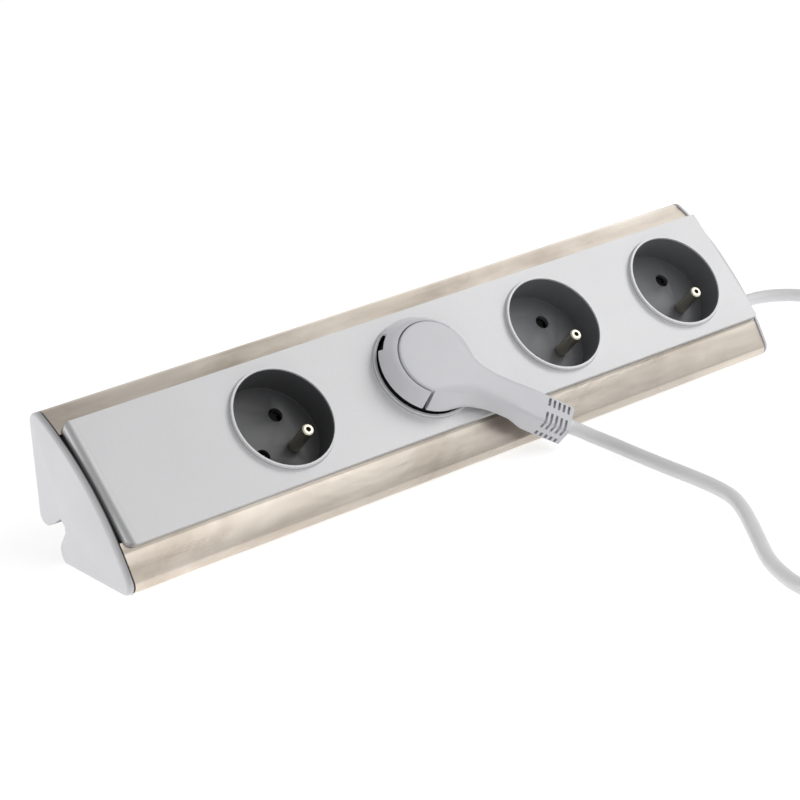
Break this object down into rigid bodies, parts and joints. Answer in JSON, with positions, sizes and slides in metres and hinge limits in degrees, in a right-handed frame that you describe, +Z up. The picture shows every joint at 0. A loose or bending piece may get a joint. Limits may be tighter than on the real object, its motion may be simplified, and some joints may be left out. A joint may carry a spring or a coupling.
{
  "type": "corner power strip",
  "caption": "Triangular-section power strip for a worktop corner, with recessed round sockets on a sloping face and a flat angled plug with a pull ring and lead.",
  "frame": {"origin": "middle of the footprint of the strip without its plug and lead, on the worktop plane", "axes": "+X along the strip, +Y towards the wall behind it, +Z up"},
  "size_m": [0.3708, 0.2405, 0.0537],
  "materials": {
    "steel": "satin, warm",
    "fascia": "light silver satin",
    "cap": "light grey, fine grain",
    "cover": "grey",
    "well": "charcoal",
    "pin": "nickel plated",
    "shutter": "black",
    "spring": "drawn wire",
    "brass": "stamped",
    "carrier": "dark grey",
    "screw": "zinc plated",
    "block": "ivory",
    "brown_core": "brown insulation",
    "blue_core": "blue insulation",
    "earth_core": "green and yellow insulation",
    "plug_shell": "light grey, satin",
    "plug_insert": "dark grey",
    "cord": "light grey"
  },
  "bodies": {
    "housing": {"steel_profile": "steel", "fascia": "fascia", "end_cap_left": "cap", "end_cap_right": "cap", "rear_cover": "cover", "cover_screws": "screw", "contact_carrier": "carrier", "live_rail": "brass", "neutral_rail": "brass", "earth_rail": "brass", "terminal_block": "block", "terminal_screws": "screw", "wire_live": "brown_core", "wire_neutral": "blue_core", "wire_earth": "earth_core", "cord_gland": "cap", "lead_tail": "cord", "lead_out": "cord", "lead_coil": "cord", "lead_run": "cord", "socket_well_1": "well", "earth_pin_1": "pin", "shutter_spring_1": "spring", "socket_well_2": "well", "earth_pin_2": "pin", "shutter_2": "shutter", "shutter_spring_2": "spring", "socket_well_3": "well", "earth_pin_3": "pin", "shutter_spring_3": "spring", "socket_well_4": "well", "earth_pin_4": "pin", "shutter_spring_4": "spring"},
    "plug": {"plug_core": "plug_insert", "plug_body": "plug_shell", "plug_pin_live": "pin", "plug_pin_neutral": "pin", "plug_earth_sleeve": "brass"},
    "pull_ring": {"plug_ring": "plug_shell"},
    "shutter_slider_1": {"shutter_1": "shutter"},
    "shutter_slider_3": {"shutter_3": "shutter"},
    "shutter_slider_4": {"shutter_4": "shutter"}
  },
  "joints": [
    {"name": "plug_slide", "type": "slide", "parent": "housing", "child": "plug", "axis": [0, -0.7071, 0.7071], "range_m": [0, 0.04]},
    {"name": "ring_hinge", "type": "hinge", "parent": "plug", "child": "pull_ring", "pos_m": [-0.00611, -0.01119, 0.0406], "axis": [0.7071, 0.5, 0.5], "range_deg": [0, 90]},
    {"name": "shutter_1_slide", "type": "slide", "parent": "housing", "child": "shutter_slider_1", "axis": [-1, 0, 0], "range_m": [0, 0.0066], "stiffness_N_per_m": 100, "deforming": ["shutter_spring_1"]},
    {"name": "shutter_3_slide", "type": "slide", "parent": "housing", "child": "shutter_slider_3", "axis": [-1, 0, 0], "range_m": [0, 0.0066], "stiffness_N_per_m": 100, "deforming": ["shutter_spring_3"]},
    {"name": "shutter_4_slide", "type": "slide", "parent": "housing", "child": "shutter_slider_4", "axis": [-1, 0, 0], "range_m": [0, 0.0066], "stiffness_N_per_m": 100, "deforming": ["shutter_spring_4"]}
  ]
}
